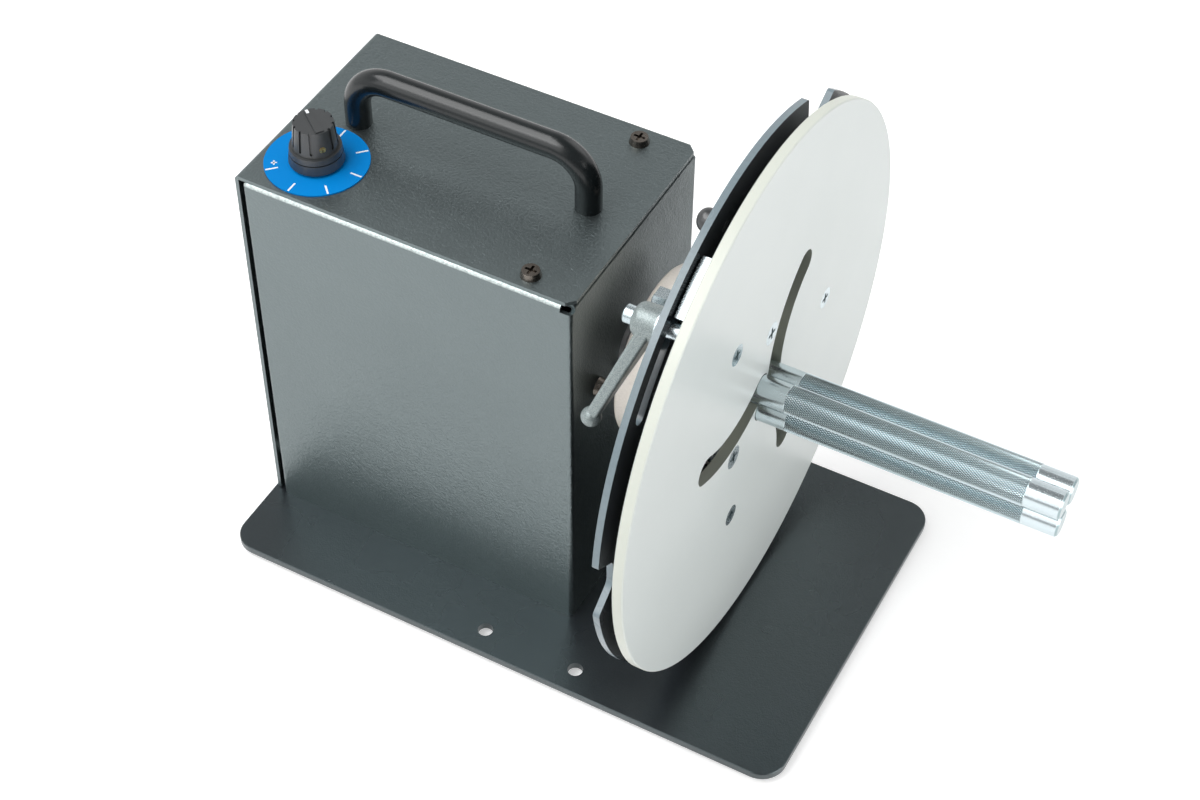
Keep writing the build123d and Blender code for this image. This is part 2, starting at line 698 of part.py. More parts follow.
with BuildPart() as motor_can:
    with BuildSketch(axial(x_gearbox - GEARBOX_L)):
        with Locations((0, -SHAFT_OFFSET)):
            Circle(MOTOR_R)
    extrude(amount=-MOTOR_L)
    chamfer(motor_can.faces().sort_by(Axis.X)[0].edges(), 2 * GEARBOX_EDGE)
    with BuildSketch(axial(x_gearbox - GEARBOX_L - MOTOR_L)):
        with Locations((0, -SHAFT_OFFSET)):
            Circle(PILOT_R / 2)
    extrude(amount=-PILOT_H)
save(motor_can, "motor_can")

x_shaft_start = x_gearbox + PILOT_H - SHAFT_IN_GEARBOX + AIR
with BuildPart() as output_shaft:
    with BuildSketch(axial(x_shaft_start)):
        Circle(SHAFT_R)
    extrude(amount=x_hub + SHAFT_IN_HUB - x_shaft_start)
    chamfer(output_shaft.faces().filter_by(Axis.X).edges(), SHAFT_R / 10)
save(output_shaft, "output_shaft")

# --------------------------------------------------------------- control board
board_z = plate_top + BOARD_RISE
with BuildPart() as control_board:
    with BuildSketch(Plane.XY.offset(board_z)):
        with Locations((board_x, 0)):
            Rectangle(BOARD_L, BOARD_W)
            with GridLocations(*standoff_grid, 2, 2):
                Circle(STANDOFF_R / 2 + SCREW_PLAY, mode=Mode.SUBTRACT)
    extrude(amount=BOARD_T)
    # capacitor, driver with its heat sink, and terminal block
    with BuildSketch(Plane.XY.offset(board_z + BOARD_T)):
        with Locations((board_x - BOARD_L / 4, BOARD_W / 5)):
            Circle(BOARD_W / 8)
    extrude(amount=BOARD_W / 2.5)
    with BuildSketch(Plane.XY.offset(board_z + BOARD_T)):
        with Locations((board_x + BOARD_L / 8, 0)):
            Rectangle(BOARD_L / 5, BOARD_W / 2)
            with GridLocations(BOARD_L / 12, 0, 2, 1):
                Rectangle(BOARD_L / 20, BOARD_W / 2, mode=Mode.SUBTRACT)
    extrude(amount=BOARD_W / 3)
    with BuildSketch(Plane.XY.offset(board_z + BOARD_T)):
        with Locations((board_x + BOARD_L / 3, 0)):
            Rectangle(BOARD_L / 10, BOARD_W / 2)
    extrude(amount=BOARD_W / 5)
save(control_board, "control_board")

with BuildPart() as board_standoffs:
    with BuildSketch(Plane.XY.offset(plate_top)):
        with Locations((board_x, 0)):
            with GridLocations(*standoff_grid, 2, 2):
                RegularPolygon(STANDOFF_R, 6)
    extrude(amount=BOARD_RISE)
    with BuildSketch(Plane.XY.offset(board_z)):
        with Locations((board_x, 0)):
            with GridLocations(*standoff_grid, 2, 2):
                Circle(STANDOFF_R / 2)
    extrude(amount=BOARD_T + STANDOFF_R / 2)
save(board_standoffs, "board_standoffs")

# --------------------------------------------------- connector and switch
with BuildPart() as power_jack:
    with BuildSketch(Plane.XZ.offset(-half_w - JACK_PROUD)):
        with Locations(jack_spot):
            Circle(JACK_R)
    extrude(amount=JACK_L)
    with BuildSketch(Plane.XZ.offset(-half_w + SHEET_T)):
        with Locations(jack_spot):
            Circle(JACK_R + SHEET_T)
    extrude(amount=SHEET_T)
    with BuildSketch(Plane.XZ.offset(-half_w - JACK_PROUD)):
        with Locations(jack_spot):
            Circle(JACK_BORE_R)
    extrude(amount=JACK_BORE_L, mode=Mode.SUBTRACT)
    with BuildSketch(Plane.XZ.offset(-half_w - JACK_PROUD / 2)):
        with Locations(jack_spot):
            Circle(JACK_BORE_R / 3)
    extrude(amount=JACK_BORE_L)
save(power_jack, "power_jack")

with BuildPart() as jack_nut:
    with BuildSketch(Plane.XZ.offset(-half_w - JACK_NUT_T)):
        with Locations(jack_spot):
            RegularPolygon(JACK_NUT_FLATS / 2, 6, major_radius=False)
            Circle(JACK_R + SEAT_FIT, mode=Mode.SUBTRACT)
    extrude(amount=JACK_NUT_T)
save(jack_nut, "jack_nut")

bezel_y = half_w + SWITCH_BEZEL_T
rocker_pin_y = half_w - ROCKER_PROUD
rocker_pin_half = ROCKER_H / 2 + ROCKER_PIN_L
with BuildPart() as switch_body:
    with BuildSketch(Plane.XZ.offset(-bezel_y)):
        with Locations(switch_spot):
            RectangleRounded(SWITCH_L, SWITCH_H, SWITCH_BEZEL_T / 2)
    extrude(amount=SWITCH_BEZEL_T)
    with BuildSketch(Plane.XZ.offset(-half_w)):
        with Locations(switch_spot):
            Rectangle(SWITCH_BODY_L, SWITCH_BODY_H)
    extrude(amount=SWITCH_DEPTH)
    with BuildSketch(Plane.XZ.offset(-bezel_y)):
        with Locations(switch_spot):
            Rectangle(ROCKER_L + 2 * SLIDE_PLAY, ROCKER_H + 2 * SLIDE_PLAY)
    extrude(amount=SWITCH_BEZEL_T + ROCKER_WELL, mode=Mode.SUBTRACT)
    with BuildSketch(Plane.XY.offset(switch_spot[1])):
        with Locations((switch_spot[0], rocker_pin_y)):
            Circle(ROCKER_PIN_R + RUNNING_FIT)
    extrude(amount=rocker_pin_half + SLIDE_PLAY, both=True, mode=Mode.SUBTRACT)
save(switch_body, "switch_body")

# The rocker is round about its own pin, so it clears the bezel at every tilt.
rocker_r = ROCKER_L / 2
with BuildPart() as switch_rocker:
    with BuildSketch(Plane.XY.offset(switch_spot[1])) as rocker_section:
        with Locations((switch_spot[0], rocker_pin_y)):
            Circle(rocker_r)
        with Locations((switch_spot[0], rocker_pin_y - rocker_r / 3)):
            Rectangle(
                2 * rocker_r,
                rocker_r,
                align=(Align.CENTER, Align.MAX),
                mode=Mode.SUBTRACT,
            )
        with Locations((switch_spot[0], bezel_y + 2 * rocker_r)):
            Circle(2 * rocker_r - ROCKER_PROUD / 4, mode=Mode.SUBTRACT)
    extrude(amount=ROCKER_H / 2, both=True)
    with BuildSketch(Plane.XY.offset(switch_spot[1])):
        with Locations((switch_spot[0], rocker_pin_y)):
            Circle(ROCKER_PIN_R)
    extrude(amount=rocker_pin_half, both=True)
save(switch_rocker, "switch_rocker")

# ------------------------------------------------------------------------- hub
post_spots = [polar(POST_CIRCLE_R, POST_ANGLE + turn * 360 / ARMS) for turn in range(ARMS)]
pivot_spots = [polar(PIVOT_CIRCLE_R, PIVOT_ANGLE + turn * 360 / ARMS) for turn in range(ARMS)]
set_screw_x = x_hub + SHAFT_IN_HUB / 2
with BuildPart() as hub:
    with BuildSketch(axial(x_hub)):
        Circle(HUB_R)
    extrude(amount=x_hub_front - x_hub)
    chamfer(hub.faces().sort_by(Axis.X)[0].edges(), HUB_EDGE)
    with BuildSketch(axial(x_hub)):
        Circle(SHAFT_R + SEAT_FIT)
    extrude(amount=SHAFT_IN_HUB + AIR, mode=Mode.SUBTRACT)
    with BuildSketch(axial(x_hub_front)):
        with Locations(*post_spots):
            Circle(DISC_SCREW_R + SEAT_FIT)
    extrude(amount=x_front - x_hub_front - DISC_SCREW_L - SCREW_END_ROOM, mode=Mode.SUBTRACT)
    # groove of the retaining ring behind the rear disc
    with BuildSketch(axial(x_rear_back - AIR)):
        Circle(HUB_R)
        Circle(HUB_R - RING_GROOVE, mode=Mode.SUBTRACT)
    extrude(amount=-RING_T, mode=Mode.SUBTRACT)
    # one set screw below the shaft
    with BuildSketch(Plane.XY.offset(spindle_z - HUB_R)):
        with Locations((set_screw_x, 0)):
            Circle(HUB_SET_SCREW_R + SEAT_FIT)
    extrude(amount=HUB_R, mode=Mode.SUBTRACT)
save(hub, "hub")

with BuildPart() as hub_set_screw:
    with BuildSketch(Plane.XY.offset(spindle_z - SHAFT_R - HUB_SET_SCREW_L)):
        with Locations((set_screw_x, 0)):
            Circle(HUB_SET_SCREW_R)
            RegularPolygon(HUB_SET_SCREW_R / 2, 6, mode=Mode.SUBTRACT)
    extrude(amount=HUB_SET_SCREW_L / 2)
    with BuildSketch(Plane.XY.offset(spindle_z - SHAFT_R - HUB_SET_SCREW_L / 2)):
        with Locations((set_screw_x, 0)):
            Circle(HUB_SET_SCREW_R)
    extrude(amount=HUB_SET_SCREW_L / 2 - SEAT_FIT)
save(hub_set_screw, "hub_set_screw")

with BuildPart() as retaining_ring:
    with BuildSketch(axial(x_rear_back - AIR)):
        Circle(RING_R)
        Circle(HUB_R - RING_GROOVE + SEAT_FIT, mode=Mode.SUBTRACT)
        with Locations((0, -RING_R)):
            Rectangle(RING_R / 4, RING_R / 3, mode=Mode.SUBTRACT)
    extrude(amount=-RING_T)
save(retaining_ring, "retaining_ring")

# -------------------------------------------------------------- the two discs
clamp_circle_r = DISC_R - CLAMP_INSET
clamp_spot = polar(clamp_circle_r, CLAMP_ANGLE)
block_outer_r = DISC_R - BLOCK_INSET
block_inner_r = block_outer_r - BLOCK_W
block_mid_r = (block_inner_r + block_outer_r) / 2
block_span = BLOCK_END - BLOCK_START
block_spots = [polar(block_mid_r, BLOCK_START + block_span * share) for share in BLOCK_SCREW_SHARES]
block_screw_end = x_rear_front + AIR + BLOCK_SCREW_L
slot_arc = CenterArc(pivot, ARM_R, arm_angle - SWING, SWING)
with BuildPart() as front_disc:
    with BuildSketch(axial(x_front)):
        Circle(DISC_R)
        Circle(CENTRE_HOLE_R, mode=Mode.SUBTRACT)
        with PolarLocations(0, ARMS):
            SlotArc(slot_arc, slot_w, mode=Mode.SUBTRACT)
    extrude(amount=-FRONT_T)
    rim = front_disc.edges().filter_by(GeomType.CIRCLE).sort_by(SortBy.RADIUS)[-2:]
    chamfer(rim, DISC_EDGE)
    # countersunk holes of the hub screws and of the pivot screws
    for spots, head_r, shank_r in (
        (post_spots, DISC_HEAD_R, DISC_SCREW_R),
        (pivot_spots, PIVOT_HEAD_R, PIVOT_SCREW_R),
    ):
        with BuildSketch(axial(x_front)):
            with Locations(*spots):
                Circle(head_r + SEAT_FIT)
        extrude(amount=-SCREW_EDGE, mode=Mode.SUBTRACT)
        with BuildSketch(axial(x_front - SCREW_EDGE)):
            with Locations(*spots):
                Circle(head_r + SEAT_FIT)
        extrude(amount=-head_r + shank_r, taper=COUNTERSINK, mode=Mode.SUBTRACT)
        with BuildSketch(axial(x_front)):
            with Locations(*spots):
                Circle(shank_r + SEAT_FIT)
        extrude(amount=-FRONT_T, mode=Mode.SUBTRACT)
    # blind tapped holes behind the disc for the clamp block and its stud
    with BuildSketch(axial(x_front_back)):
        with Locations(*block_spots):
            Circle(BLOCK_SCREW_R + SEAT_FIT)
    extrude(amount=block_screw_end - x_front_back + SEAT_FIT, mode=Mode.SUBTRACT)
    with BuildSketch(axial(x_front_back)):
        with Locations(clamp_spot):
            Circle(STUD_R + SEAT_FIT)
    extrude(amount=STUD_IN_DISC + SEAT_FIT, mode=Mode.SUBTRACT)
save(front_disc, "front_disc")

# screws through the front disc, spacer posts and pivot bushes behind it
disc_plane = axial(x_front)
hub_screw = (DISC_HEAD_R, DISC_HEAD_R - DISC_SCREW_R, DISC_SCREW_R, DISC_SCREW_L)
pivot_screw = (PIVOT_HEAD_R, PIVOT_HEAD_R - PIVOT_SCREW_R, PIVOT_SCREW_R, PIVOT_SCREW_L)
screws("hub_screws", [disc_plane], post_spots, *hub_screw, countersunk=True)
screws("pivot_screws", [disc_plane], pivot_spots, *pivot_screw, countersunk=True)

with BuildPart() as spacer_posts:
    with BuildSketch(axial(x_hub_front)):
        with Locations(*post_spots):
            Circle(POST_R)
            Circle(DISC_SCREW_R + SCREW_PLAY, mode=Mode.SUBTRACT)
    extrude(amount=x_front_back - x_hub_front)
save(spacer_posts, "spacer_posts")

x_flange = x_arm_back - RUNNING_FIT - BUSH_FLANGE_T
with BuildPart() as pivot_bushes:
    with BuildSketch(axial(x_flange)):
        with Locations(*pivot_spots):
            Circle(BUSH_FLANGE_R)
    extrude(amount=BUSH_FLANGE_T)
    with BuildSketch(axial(x_flange)):
        with Locations(*pivot_spots):
            Circle(BUSH_R)
    extrude(amount=x_front_back - x_flange)
    with BuildSketch(axial(x_flange)):
        with Locations(*pivot_spots):
            Circle(PIVOT_SCREW_R + SEAT_FIT)
    extrude(amount=x_front_back - x_flange, mode=Mode.SUBTRACT)
save(pivot_bushes, "pivot_bushes")

# ------------------------------------------------------------------- rear disc
grip_spot = polar(DISC_R - GRIP_INSET, GRIP_ANGLE)
stop_spot = polar(DISC_R - STOP_INSET, STOP_ANGLE)
pin_circle_mid = (pin_circle_near + pin_circle_far) / 2
pin_rest_angle = PIVOT_ANGLE + disc_turn / 2
stud_slot_arc = CenterArc(
    (0, 0),
    clamp_circle_r,
    CLAMP_ANGLE - STUD_SLOT_SPARE,
    disc_turn + 2 * STUD_SLOT_SPARE,
)
with BuildSketch() as rim_notch:
    Polygon(
        (DISC_R - NOTCH_DEPTH, -NOTCH_BOTTOM / 2),
        (DISC_R + NOTCH_DEPTH, -NOTCH_MOUTH + NOTCH_BOTTOM / 2),
        (DISC_R + NOTCH_DEPTH, NOTCH_MOUTH - NOTCH_BOTTOM / 2),
        (DISC_R - NOTCH_DEPTH, NOTCH_BOTTOM / 2),
        align=None,
    )
    fillet(rim_notch.vertices().group_by(Axis.X)[0], NOTCH_BOTTOM_R)
with BuildPart() as rear_disc:
    with BuildSketch(axial(x_rear_back)):
        Circle(DISC_R)
        Circle(HUB_R + RUNNING_FIT, mode=Mode.SUBTRACT)
        with PolarLocations(0, ARMS, start_angle=NOTCH_ANGLE):
            add(rim_notch.sketch, mode=Mode.SUBTRACT)
        with PolarLocations(pin_circle_mid, ARMS, start_angle=pin_rest_angle):
            SlotCenterToCenter(pin_circle_far - pin_circle_near, pin_slot_w, mode=Mode.SUBTRACT)
        SlotArc(stud_slot_arc, 2 * (STUD_R + SLIDE_PLAY), mode=Mode.SUBTRACT)
        with Locations(grip_spot):
            Circle(GRIP_STEM_R + SEAT_FIT, mode=Mode.SUBTRACT)
        with Locations(stop_spot):
            Circle(STOP_STUD_R + SEAT_FIT, mode=Mode.SUBTRACT)
    extrude(amount=REAR_T)
    notch_lips = rear_disc.edges().filter_by(Axis.X).filter_by(
        lambda edge: abs(hypot(edge.center().Y, edge.center().Z - spindle_z) - DISC_R) < AIR
    )
    fillet(notch_lips, NOTCH_LIP_R)
print("notch lips", len(notch_lips))
save(rear_disc, "rear_disc")

with BuildPart() as grip_knob:
    with BuildSketch(axial(x_rear_back)):
        with Locations(grip_spot):
            Circle(GRIP_R)
    extrude(amount=-GRIP_H)
    fillet(grip_knob.faces().sort_by(Axis.X)[0].edges(), GRIP_DOME_R)
    with BuildSketch(axial(x_rear_back)):
        with Locations(grip_spot):
            Circle(GRIP_STEM_R)
    extrude(amount=REAR_T)
save(grip_knob, "grip_knob")

# ----------------------------------------------------------------- lever stop
x_stop_nut = x_rear_back - STOP_SLEEVE_L
x_stop_tip = x_stop_nut - STOP_NUT_T - STOP_TIP
with BuildPart() as stop_bolt:
    with BuildSketch(axial(x_rear_front)):
        with Locations(stop_spot):
            Circle(STOP_HEAD_R)
    extrude(amount=STOP_HEAD_H)
    with BuildSketch(axial(x_rear_front)):
        with Locations(stop_spot):
            Circle(STOP_STUD_R)
    extrude(amount=x_stop_tip - x_rear_front)
    chamfer(stop_bolt.faces().sort_by(Axis.X)[0].edges(), STOP_TIP / 2)
save(stop_bolt, "stop_bolt")

with BuildPart() as stop_sleeve:
    with BuildSketch(axial(x_stop_nut)):
        with Locations(stop_spot):
            Circle(STOP_SLEEVE_R)
            Circle(STOP_STUD_R + SCREW_PLAY, mode=Mode.SUBTRACT)
    extrude(amount=STOP_SLEEVE_L)
save(stop_sleeve, "stop_sleeve")

with BuildPart() as stop_nut:
    with BuildSketch(axial(x_stop_nut)):
        with Locations(stop_spot):
            RegularPolygon(STOP_NUT_FLATS / 2, 6, major_radius=False)
            Circle(STOP_STUD_R + SEAT_FIT, mode=Mode.SUBTRACT)
    extrude(amount=-STOP_NUT_T)
save(stop_nut, "stop_nut")

# -------------------------------------------------- clamp block, stud and lever
block_screw = (BLOCK_HEAD_R, BLOCK_HEAD_R - BLOCK_SCREW_R, BLOCK_SCREW_R, BLOCK_SCREW_L)
x_block_back = x_rear_front + AIR
block_back_plane = Plane(axial(x_block_back).origin, x_dir=(0, 1, 0), z_dir=(-1, 0, 0))
block_screw_spots = [(y, -z) for y, z in block_spots]
with BuildPart() as clamp_block:
    with BuildSketch(axial(x_block_back)):
        with BuildLine():
            outer = CenterArc((0, 0), block_outer_r, BLOCK_START, block_span)
            inner = CenterArc((0, 0), block_inner_r, BLOCK_START, block_span)
            Line(outer @ 0, inner @ 0)
            Line(outer @ 1, inner @ 1)
        make_face()
    extrude(amount=x_front_back - x_block_back)
    chamfer(clamp_block.faces().sort_by(Axis.X)[0].edges(), SCREW_EDGE)
    with BuildSketch(block_back_plane):
        with Locations(*block_screw_spots):
            Circle(BLOCK_HEAD_R + SEAT_FIT)
    extrude(amount=-SCREW_EDGE, mode=Mode.SUBTRACT)
    with BuildSketch(block_back_plane.offset(-SCREW_EDGE)):
        with Locations(*block_screw_spots):
            Circle(BLOCK_HEAD_R + SEAT_FIT)
    extrude(amount=BLOCK_SCREW_R - BLOCK_HEAD_R, taper=COUNTERSINK, mode=Mode.SUBTRACT)
    with BuildSketch(axial(x_block_back)):
        with Locations(*block_spots):
            Circle(BLOCK_SCREW_R + SEAT_FIT)
    extrude(amount=x_front_back - x_block_back, mode=Mode.SUBTRACT)
save(clamp_block, "clamp_block")
screws("block_screws", [block_back_plane], block_screw_spots, *block_screw, countersunk=True)

x_washer_front = x_rear_back - THRUST_GAP
x_lever_front = x_washer_front - WASHER_T
x_lever_back = x_lever_front - LEVER_HUB_L
with BuildPart() as clamp_stud:
    with BuildSketch(axial(x_front_back + STUD_IN_DISC)):
        with Locations(clamp_spot):
            Circle(STUD_R)
    extrude(amount=x_lever_front - STUD_IN_LEVER - x_front_back - STUD_IN_DISC)
    chamfer(clamp_stud.faces().filter_by(Axis.X).edges(), STUD_R / 6)
save(clamp_stud, "clamp_stud")

with BuildPart() as lever_washer:
    with BuildSketch(axial(x_washer_front)):
        with Locations(clamp_spot):
            Circle(WASHER_R)
            Circle(STUD_R + RUNNING_FIT, mode=Mode.SUBTRACT)
    extrude(amount=-WASHER_T)
save(lever_washer, "lever_washer")

lever_y = clamp_spot[0]
lever_z = spindle_z + clamp_spot[1]
lever_tip = Vector(
    x_lever_back - LEVER_TIP_BACK,
    lever_y + LEVER_ARM_L * cos(radians(LEVER_ANGLE)),
    lever_z + LEVER_ARM_L * sin(radians(LEVER_ANGLE)),
)
lever_root = Vector(x_lever_front - LEVER_ROOT_INSET, lever_y, lever_z)
lever_run = lever_tip - lever_root
lever_side = Vector(1, 0, 0).cross(lever_run)
with BuildPart() as clamp_lever:
    with BuildSketch(axial(x_lever_front)):
        with Locations(clamp_spot):
            Circle(LEVER_HUB_R)
    extrude(amount=-LEVER_HUB_L, taper=LEVER_HUB_TAPER)
    fillet(clamp_lever.faces().sort_by(Axis.X)[0].edges(), LEVER_HUB_EDGE_R)
    with BuildSketch(Plane(lever_root, x_dir=lever_side, z_dir=lever_run)):
        RectangleRounded(LEVER_ROOT_W, LEVER_ROOT_T, LEVER_EDGE_R)
    with BuildSketch(Plane(lever_tip, x_dir=lever_side, z_dir=lever_run)):
        RectangleRounded(LEVER_TIP_W, LEVER_TIP_T, LEVER_EDGE_R)
    loft()
    with Locations(lever_tip):
        Sphere(LEVER_BALL_R)
    with BuildSketch(axial(x_lever_front)):
        with Locations(clamp_spot):
            Circle(STUD_R + RUNNING_FIT)
    extrude(amount=-STUD_IN_LEVER - THRUST_GAP, mode=Mode.SUBTRACT)
save(clamp_lever, "clamp_lever")

with BuildPart() as lever_screw:
    with BuildSketch(axial(x_lever_back)):
        with Locations(clamp_spot):
            Circle(LEVER_SCREW_R)
    extrude(amount=-LEVER_SCREW_H)
    chamfer(lever_screw.faces().sort_by(Axis.X)[0].edges(), LEVER_SCREW_H / 8)
    with BuildSketch(axial(x_lever_back - LEVER_SCREW_H)):
        with Locations(clamp_spot):
            RegularPolygon(LEVER_SCREW_R / 2, 6)
    extrude(amount=LEVER_SOCKET, mode=Mode.SUBTRACT)
save(lever_screw, "lever_screw")

# ------------------------------------------------------- three swing arms, rods
x_neck_end = x_front + ROD_NECK_L
x_nose_start = x_tip - ROD_NOSE_L
x_pin_end = x_rear_back - PIN_PROUD
for turn in range(ARMS):
    number = turn + 1
    step = turn * 360 / ARMS
    pivot_spot = pivot_spots[turn]
    rod_spot = polar(CLOSED_R, PIVOT_ANGLE + CLOSED_LEAD + step)
    pin_spot = polar(pin_circle_near, pin_rest_angle + step)
    boss = CenterArc(pivot_spot, PIVOT_BOSS_R, 0, 360)
    rod_end = CenterArc(rod_spot, ARM_W / 2, 0, 360)
    tail_end = CenterArc(pin_spot, ARM_W / 2, 0, 360)

    with BuildPart() as swing_arm:
        with BuildSketch(axial(x_arm_back)):
            make_hull([boss, rod_end])
            make_hull([boss, tail_end])
            with Locations(pivot_spot):
                Circle(BUSH_R + RUNNING_FIT, mode=Mode.SUBTRACT)
            with Locations(rod_spot):
                Circle(ROD_TENON_R + SEAT_FIT, mode=Mode.SUBTRACT)
            with Locations(pin_spot):
                Circle(PIN_R + SEAT_FIT, mode=Mode.SUBTRACT)
        extrude(amount=ARM_T)
    save(swing_arm, f"swing_arm_{number}")

    with BuildPart() as core_rod:
        with BuildSketch(axial(x_arm_back)):
            with Locations(rod_spot):
                Circle(ROD_TENON_R)
        extrude(amount=ARM_T)
        with BuildSketch(axial(x_arm_front)):
            with Locations(rod_spot):
                Circle(ROD_R)
        extrude(amount=x_tip - x_arm_front)
        chamfer(core_rod.faces().sort_by(Axis.X)[-1].edges(), ROD_CHAMFER)
        with BuildSketch(axial(x_neck_end)):
            with Locations(rod_spot):
                Circle(KNURL_R)
        extrude(amount=x_nose_start - x_neck_end)
    save(core_rod, f"core_rod_{number}")

    with BuildPart() as drive_pin:
        with BuildSketch(axial(x_arm_front)):
            with Locations(pin_spot):
                Circle(PIN_R)
        extrude(amount=x_pin_end - x_arm_front)
    save(drive_pin, f"drive_pin_{number}")
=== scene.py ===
"""Looks of a tabletop label rewinder: finishes, knurled rods, dial marks, floor, lights and camera.

Everything is in the frame of the CAD model: +X along the spindle towards the rods,
+Y to the back, +Z up, origin on the floor under the machine. Metres.
"""

import json
from math import cos, pi, radians, sin, tan

import bmesh
import bpy
from mathutils import Matrix, Vector


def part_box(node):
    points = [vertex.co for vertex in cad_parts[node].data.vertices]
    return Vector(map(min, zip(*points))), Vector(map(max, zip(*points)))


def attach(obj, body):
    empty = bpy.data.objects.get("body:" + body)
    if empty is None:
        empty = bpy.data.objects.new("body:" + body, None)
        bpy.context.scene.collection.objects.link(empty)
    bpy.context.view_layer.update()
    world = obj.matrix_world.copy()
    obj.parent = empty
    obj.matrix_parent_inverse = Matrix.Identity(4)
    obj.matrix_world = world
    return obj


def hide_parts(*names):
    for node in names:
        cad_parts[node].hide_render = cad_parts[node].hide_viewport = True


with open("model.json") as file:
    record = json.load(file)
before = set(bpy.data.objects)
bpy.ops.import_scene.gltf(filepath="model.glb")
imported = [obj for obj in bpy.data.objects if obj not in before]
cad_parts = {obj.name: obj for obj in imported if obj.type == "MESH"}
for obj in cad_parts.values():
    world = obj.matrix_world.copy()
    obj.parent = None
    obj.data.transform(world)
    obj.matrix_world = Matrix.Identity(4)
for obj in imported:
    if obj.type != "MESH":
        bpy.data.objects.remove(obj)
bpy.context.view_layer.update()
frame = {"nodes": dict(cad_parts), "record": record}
nodes = frame["nodes"]

MM = 0.001

# ---------------------------------------------------------------------- camera
CAMERA_AT = (0.25798, -0.53792, 0.72955)
CAMERA_AZIMUTH = 28.008
CAMERA_ELEVATION = 46.885
CAMERA_ROLL = 0.611
CAMERA_LENS = 69.69
CAMERA_SENSOR = 36.0
CAMERA_CLIP = 0.01

camera_data = bpy.data.cameras.new("camera")
camera_data.sensor_fit = "HORIZONTAL"
camera_data.sensor_width = CAMERA_SENSOR
camera_data.lens = CAMERA_LENS
camera_data.clip_start = CAMERA_CLIP
camera = bpy.data.objects.new("camera", camera_data)
camera.location = CAMERA_AT
turn = Matrix.Rotation(radians(CAMERA_AZIMUTH), 3, "Z")
tilt = Matrix.Rotation(radians(90 - CAMERA_ELEVATION), 3, "X")
roll = Matrix.Rotation(radians(CAMERA_ROLL), 3, "Z")
camera.rotation_euler = (turn @ tilt @ roll).to_euler()
bpy.context.scene.collection.objects.link(camera)
bpy.context.scene.camera = camera
bpy.context.scene.view_settings.view_transform = "Standard"


# --------------------------------------------------------------- finish values
# spacings and sizes of grain are in millimetres, bands are parts of a noise's range
CLOUD_BAND = (0.3, 0.7)
FINE_DETAIL = 3.0

COAT_CLOUD = 30.0
COAT_SPREAD = 0.03          # of the roughness, up and down
COAT_FLOW = 0.6
COAT_BAND = (0.36, 0.62)
COAT_PEEL = 5               # grains in one wave of the orange peel
COAT_SHADE = 0.85
COAT_LIGHT = 1.2

SMOOTH_CLOUD = 25.0
SMOOTH_PEEL = 2.5
SMOOTH_PATCH = 40.0
SMOOTH_SHADE = 0.96

METAL_CLOUD = 7.0
METAL_BAND = (0.35, 0.65)
METAL_SMOOTHER = 0.06
METAL_ROUGHER = 0.08

PLASTIC_CLOUD = 4.0
PLASTIC_SPREAD = 0.05
PLASTIC_LIGHT = 1.25

CAST_METALLIC = 0.4
CAST_FLOW = 0.3
CAST_DETAIL = 4.0
CAST_BAND = (0.38, 0.62)
CAST_CLOUD = 3.0
CAST_SPREAD = 0.06
CAST_WAVE = 6               # grains in one wave of the surface

SPECK_SPACING = 4.0
SPECK_SIZE = 0.12
SPECK_SHARE = 0.10          # of the cells that hold a speck
SPECK_COLOUR = (0.45, 0.47, 0.46)

# painted highlight along the top bends of the housing: its colour, the band of bend angles it
# covers, and the patches that break it up
BEND_HIGHLIGHT_COLOUR = (0.66, 0.72, 0.70)
BEND_BAND = (0.15, 0.45)
BEND_PATCH = 0.9
BEND_PATCH_BAND = (0.35, 0.60)
BEND_LEAST = 0.60

SPINDLE_Z = 119.0 * MM
DISC_RIM_FROM = 105.0 * MM
DISC_FACE = (0.68, 0.725, 0.71)
DISC_RIM = (0.66, 0.69, 0.62)
# slot walls: olive bare-metal tone darkened with painted shade
DISC_SLOT_WALL_SHADED = (0.26, 0.28, 0.24)
REAR_FACE = (0.008, 0.011, 0.014)
# painted sheen for the rim and notch flanks of the black disc, with its start radius, patch size
# and dimmer tone
REAR_RIM_SHEEN = (0.22, 0.28, 0.31)
REAR_RIM_SHEEN_FROM = 97.0 * MM
REAR_RIM_SHEEN_PATCH = 1.5
REAR_RIM_SHEEN_DIM = 0.8
REAR_ROUGHNESS = 0.26
DISC_SHADE = 0.97
DISC_ROUGHNESS = 0.34
DISC_PEEL_DEPTH = 0.006
FACE_BAND = (0.5, 0.9)      # how far a surface turns from a cut edge to a face

ZINC = (0.62, 0.70, 0.73)
# painted shade for the grooves of the knurl
GROOVE_PAINTED_SHADE = (0.34, 0.43, 0.45)
ROD_R = 5.4 * MM
CREST_R = 5.5 * MM
VALLEY_R = 5.2 * MM
ROD_SMOOTH = 0.16
ROD_ROUGH = 0.28
ROD_CLOUD = 0.5
ROD_GRAIN = 0.4
ROD_GRAIN_DEPTH = 0.003


